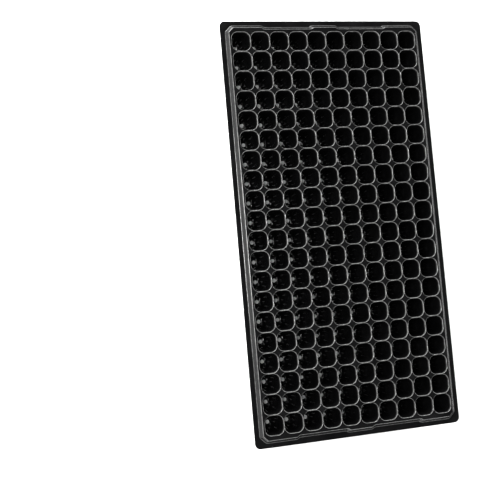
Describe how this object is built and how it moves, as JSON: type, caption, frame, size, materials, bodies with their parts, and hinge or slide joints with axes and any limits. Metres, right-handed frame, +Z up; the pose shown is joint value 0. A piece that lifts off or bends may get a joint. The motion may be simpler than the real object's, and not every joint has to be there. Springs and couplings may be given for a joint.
{
  "type": "plug tray",
  "caption": "Thermoformed black seedling tray: a grid of tapered square cells with drain holes hangs from a flat deck inside a sloping wall and a stacking flange.",
  "frame": {"origin": "middle of the footprint, in the plane of the cell tips the tray stands on", "axes": "+Z up through the mouths of the cells, +Y along the long side, +X along the short side"},
  "size_m": [0.28, 0.54, 0.033],
  "materials": {
    "black_sheet": "glossy black formed polystyrene, duller where the sheet is drawn"
  },
  "bodies": {
    "root": {"cell_column_01_floors": "black_sheet", "cell_column_01_walls": "black_sheet", "cell_column_02_floors": "black_sheet", "cell_column_02_walls": "black_sheet", "cell_column_03_floors": "black_sheet", "cell_column_03_walls": "black_sheet", "cell_column_04_floors": "black_sheet", "cell_column_04_walls": "black_sheet", "cell_column_05_floors": "black_sheet", "cell_column_05_walls": "black_sheet", "cell_column_06_floors": "black_sheet", "cell_column_06_walls": "black_sheet", "cell_column_07_floors": "black_sheet", "cell_column_07_walls": "black_sheet", "cell_column_08_floors": "black_sheet", "cell_column_08_walls": "black_sheet", "cell_column_09_floors": "black_sheet", "cell_column_09_walls": "black_sheet", "cell_column_10_floors": "black_sheet", "cell_column_10_walls": "black_sheet", "cell_row_01_walls": "black_sheet", "cell_row_02_walls": "black_sheet", "cell_row_03_walls": "black_sheet", "cell_row_04_walls": "black_sheet", "cell_row_05_walls": "black_sheet", "cell_row_06_walls": "black_sheet", "cell_row_07_walls": "black_sheet", "cell_row_08_walls": "black_sheet", "cell_row_09_walls": "black_sheet", "cell_row_10_walls": "black_sheet", "cell_row_11_walls": "black_sheet", "cell_row_12_walls": "black_sheet", "cell_row_13_walls": "black_sheet", "cell_row_14_walls": "black_sheet", "cell_row_15_walls": "black_sheet", "cell_row_16_walls": "black_sheet", "cell_row_17_walls": "black_sheet", "cell_row_18_walls": "black_sheet", "cell_row_19_walls": "black_sheet", "cell_row_20_walls": "black_sheet", "flange_corners": "black_sheet", "flange_end_back": "black_sheet", "flange_end_front": "black_sheet", "flange_side_left": "black_sheet", "flange_side_right": "black_sheet", "skirt_corners": "black_sheet", "skirt_end_back": "black_sheet", "skirt_end_front": "black_sheet", "skirt_side_left": "black_sheet", "skirt_side_right": "black_sheet"}
  },
  "joints": []
}
